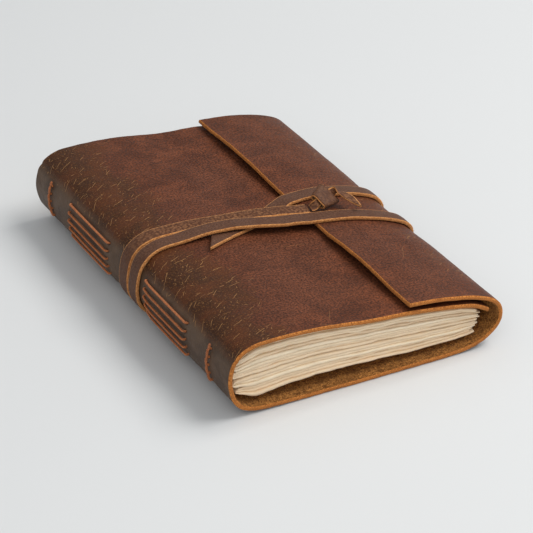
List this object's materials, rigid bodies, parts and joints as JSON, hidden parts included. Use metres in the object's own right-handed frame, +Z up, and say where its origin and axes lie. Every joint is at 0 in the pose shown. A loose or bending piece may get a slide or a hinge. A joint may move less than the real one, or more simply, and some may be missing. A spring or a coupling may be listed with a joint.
{
  "type": "leather wrap journal",
  "caption": "Soft leather wrap journal with sewn signatures, a fold-over flap and a wound strap, lying closed on its back cover.",
  "frame": {"origin": "centre of the underside, on the table plane", "axes": "+X from the spine to the fore-edge, +Y from tail to head, +Z up through the closed journal"},
  "size_m": [0.1305, 0.19, 0.0397],
  "materials": {
    "oiled_leather": "waxed, softly grained, darker on the spine",
    "strap_leather": "waxed, with raw orange-tan cut edges",
    "handmade_paper": "rough cream leaves with deckled edges",
    "waxed_thread": "twisted, waxed"
  },
  "bodies": {
    "back": {"back_cover": "oiled_leather", "spine_strip_5": "oiled_leather", "signature_5": "handmade_paper", "long_stitch_head_5": "waxed_thread", "long_stitch_tail_5": "waxed_thread", "end_stitch_head_5": "waxed_thread", "end_stitch_tail_5": "waxed_thread"},
    "section_4": {"spine_strip_4": "oiled_leather", "signature_4": "handmade_paper", "long_stitch_head_4": "waxed_thread", "long_stitch_tail_4": "waxed_thread", "end_stitch_head_4": "waxed_thread", "end_stitch_tail_4": "waxed_thread"},
    "section_3": {"spine_strip_3": "oiled_leather", "signature_3": "handmade_paper", "long_stitch_head_3": "waxed_thread", "long_stitch_tail_3": "waxed_thread", "end_stitch_head_3": "waxed_thread", "end_stitch_tail_3": "waxed_thread"},
    "section_2": {"spine_strip_2": "oiled_leather", "signature_2": "handmade_paper", "long_stitch_head_2": "waxed_thread", "long_stitch_tail_2": "waxed_thread", "end_stitch_head_2": "waxed_thread", "end_stitch_tail_2": "waxed_thread"},
    "section_1": {"spine_strip_1": "oiled_leather", "signature_1": "handmade_paper", "long_stitch_head_1": "waxed_thread", "long_stitch_tail_1": "waxed_thread", "end_stitch_head_1": "waxed_thread", "end_stitch_tail_1": "waxed_thread"},
    "front": {"front_cover": "oiled_leather"},
    "wrap_lower_body": {"wrap_lower": "oiled_leather"},
    "wrap_middle_body": {"wrap_middle": "oiled_leather"},
    "wrap_upper_body": {"wrap_upper": "oiled_leather"},
    "flap_body": {"flap": "oiled_leather"},
    "strap_body": {"strap": "strap_leather", "knot_strip": "strap_leather", "knot_loop": "strap_leather"}
  },
  "joints": [
    {"name": "spine_fold_2", "type": "hinge", "parent": "section_3", "child": "section_2", "pos_m": [-0.06395, 0, 0.01905], "axis": [0, -1, 0], "range_deg": [0, 100]},
    {"name": "spine_fold_1", "type": "hinge", "parent": "section_2", "child": "section_1", "pos_m": [-0.06331, 0, 0.02275], "axis": [0, -1, 0], "range_deg": [0, 35]},
    {"name": "spine_fold_3", "type": "hinge", "parent": "section_4", "child": "section_3", "pos_m": [-0.06382, 0, 0.0153], "axis": [0, -1, 0], "range_deg": [0, 30]},
    {"name": "spine_fold_4", "type": "hinge", "parent": "back", "child": "section_4", "pos_m": [-0.06304, 0, 0.01155], "axis": [0, -1, 0], "range_deg": [0, 8]},
    {"name": "cover_fold", "type": "hinge", "parent": "section_1", "child": "front", "pos_m": [-0.0618, 0, 0.0266], "axis": [0, -1, 0], "range_deg": [0, 14]},
    {"name": "fore_edge_fold", "type": "hinge", "parent": "wrap_lower_body", "child": "wrap_middle_body", "pos_m": [0.0603, 0, 0.0064], "axis": [0, 1, 0], "range_deg": [0, 60]},
    {"name": "fore_edge_fold_low", "type": "hinge", "parent": "back", "child": "wrap_lower_body", "pos_m": [0.04999, 0, 0.00149], "axis": [0, 1, 0], "range_deg": [0, 25]},
    {"name": "fore_edge_fold_high", "type": "hinge", "parent": "wrap_middle_body", "child": "wrap_upper_body", "pos_m": [0.06379, 0, 0.01636], "axis": [0, 1, 0], "range_deg": [0, 50]},
    {"name": "flap_fold", "type": "hinge", "parent": "wrap_upper_body", "child": "flap_body", "pos_m": [0.05645, 0, 0.02407], "axis": [0, 1, 0], "range_deg": [0, 40], "deforming": ["flap"]},
    {"name": "strap_off", "type": "slide", "parent": "back", "child": "strap_body", "axis": [0, 1, 0], "range_m": [0, 0.13], "deforming": ["strap", "knot_strip", "knot_loop"]}
  ],
  "couplings": [
    {"joint": "spine_fold_1", "follows": "spine_fold_2", "ratio": 0.35},
    {"joint": "spine_fold_3", "follows": "spine_fold_2", "ratio": 0.3},
    {"joint": "spine_fold_4", "follows": "spine_fold_2", "ratio": 0.08},
    {"joint": "cover_fold", "follows": "spine_fold_2", "ratio": 0.14},
    {"joint": "fore_edge_fold_low", "follows": "spine_fold_2", "ratio": 0.25},
    {"joint": "fore_edge_fold", "follows": "spine_fold_2", "ratio": 0.6},
    {"joint": "fore_edge_fold_high", "follows": "spine_fold_2", "ratio": 0.5},
    {"joint": "flap_fold", "follows": "spine_fold_2", "ratio": 0.4}
  ]
}
